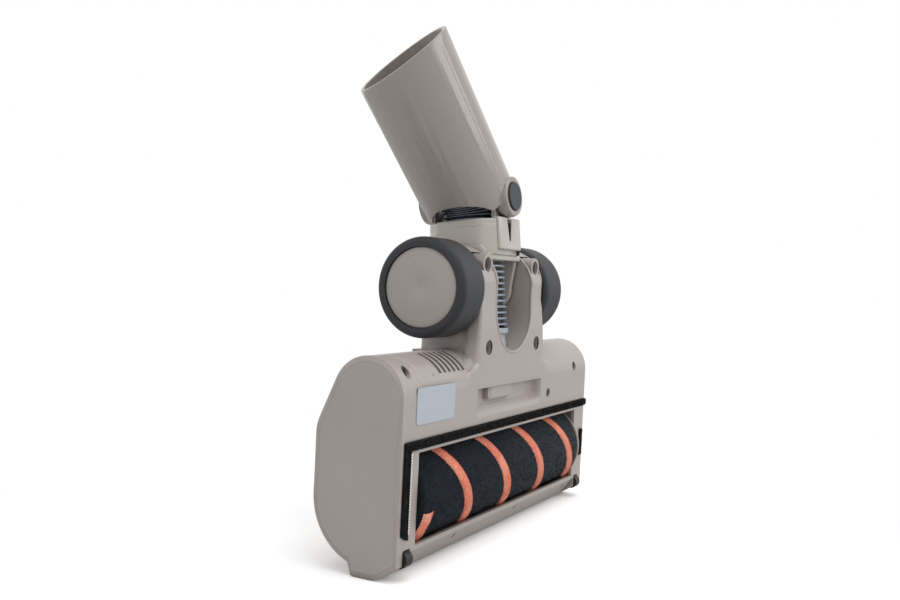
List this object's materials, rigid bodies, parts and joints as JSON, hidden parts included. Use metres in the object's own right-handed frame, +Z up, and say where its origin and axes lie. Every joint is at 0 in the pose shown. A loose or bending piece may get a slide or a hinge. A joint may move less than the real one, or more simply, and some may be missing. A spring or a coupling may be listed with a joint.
{
  "type": "vacuum turbo brush",
  "caption": "Powered floor brush for a stick vacuum: a wide body with a striped plush roller, a fork with two wheels, and a tilting neck that carries a swivelling suction tube.",
  "frame": {"origin": "middle of the flat nose face that the brush stands on", "axes": "+X along the brush's width, towards its right end as seen from the underside; -Y out of the underside with the roller window; +Z up from the nose to the suction tube"},
  "size_m": [0.2535, 0.0732, 0.2871],
  "materials": {
    "greige_plastic": "moulded, satin gloss",
    "greige_side": "moulded, satin gloss",
    "tube_plastic": "moulded, satin gloss",
    "neck_plastic": "moulded, satin gloss",
    "hub_plastic": "moulded, fine grain",
    "dark_plastic": "moulded, dull",
    "tyre_rubber": "moulded soft rubber",
    "roller_plush": "dense dark plush",
    "stripe_plush": "raised coral bristle stripe",
    "cap_plastic": "moulded blue-grey",
    "hose_plastic": "corrugated flexible plastic",
    "cuff_plastic": "moulded blue-grey",
    "seal_flock": "black flock pile",
    "label_film": "blank film",
    "steel": "drawn steel",
    "motor_steel": "zinc coated can",
    "board": "green laminate",
    "belt_rubber": "moulded drive belt"
  },
  "bodies": {
    "housing": {"base_plate": "greige_plastic", "top_cover": "greige_plastic", "yoke_cover": "greige_plastic", "left_side_cap": "greige_side", "right_side_cap": "greige_side", "rear_seal_strip": "seal_flock", "left_seal_strip": "seal_flock", "right_seal_strip": "seal_flock", "blank_label": "label_film", "left_roller_bearing": "steel", "right_roller_bearing": "steel", "brush_motor": "motor_steel", "drive_belt": "belt_rubber", "control_board": "board", "suction_duct": "dark_plastic", "hose_cuff": "cuff_plastic", "suction_hose": "hose_plastic", "left_wheel_axle": "steel", "right_wheel_axle": "steel", "left_front_pin": "steel", "right_front_pin": "steel", "case_screws": "steel", "fork_screws": "steel"},
    "roller": {"roller_core": "dark_plastic", "roller_sleeve": "roller_plush", "roller_stripes": "stripe_plush", "roller_pulley": "dark_plastic"},
    "motor_rotor": {"motor_pulley": "steel"},
    "left_wheel": {"left_wheel_core": "dark_plastic", "left_tyre": "tyre_rubber", "left_wheel_cap": "hub_plastic"},
    "right_wheel": {"right_wheel_core": "dark_plastic", "right_tyre": "tyre_rubber", "right_wheel_cap": "hub_plastic"},
    "left_small_wheel": {"left_front_wheel": "dark_plastic"},
    "right_small_wheel": {"right_front_wheel": "dark_plastic"},
    "neck": {"neck_front": "neck_plastic", "neck_rear": "neck_plastic"},
    "tube": {"swivel_tube": "tube_plastic", "front_pivot_cap": "cap_plastic", "rear_pivot_cap": "cap_plastic", "swivel_pins": "steel"}
  },
  "joints": [
    {"name": "roller_spin", "type": "hinge", "parent": "housing", "child": "roller", "pos_m": [0, 0.0025, 0.0366], "axis": [1, 0, 0], "continuous": true},
    {"name": "motor_spin", "type": "hinge", "parent": "housing", "child": "motor_rotor", "pos_m": [0, -0.0019, 0.087], "axis": [1, 0, 0], "continuous": true},
    {"name": "left_wheel_spin", "type": "hinge", "parent": "housing", "child": "left_wheel", "pos_m": [0, 0.0069, 0.1435], "axis": [1, 0, 0], "continuous": true},
    {"name": "right_wheel_spin", "type": "hinge", "parent": "housing", "child": "right_wheel", "pos_m": [0, 0.0069, 0.1435], "axis": [1, 0, 0], "continuous": true},
    {"name": "left_small_wheel_spin", "type": "hinge", "parent": "housing", "child": "left_small_wheel", "pos_m": [-0.1166, -0.0173, 0.0103], "axis": [1, 0, 0], "continuous": true},
    {"name": "right_small_wheel_spin", "type": "hinge", "parent": "housing", "child": "right_small_wheel", "pos_m": [0.1166, -0.0173, 0.0103], "axis": [1, 0, 0], "continuous": true},
    {"name": "neck_tilt", "type": "hinge", "parent": "housing", "child": "neck", "pos_m": [0, 0.0069, 0.1435], "axis": [-1, 0, 0], "range_deg": [-6.2, 83.8], "deforming": ["suction_hose"]},
    {"name": "tube_swivel", "type": "hinge", "parent": "neck", "child": "tube", "pos_m": [0, 0.01468, 0.19657], "axis": [0, 0.9942, -0.108], "range_deg": [-3, 95], "deforming": ["suction_hose"]}
  ],
  "couplings": [
    {"joint": "motor_spin", "follows": "roller_spin", "ratio": 2}
  ]
}
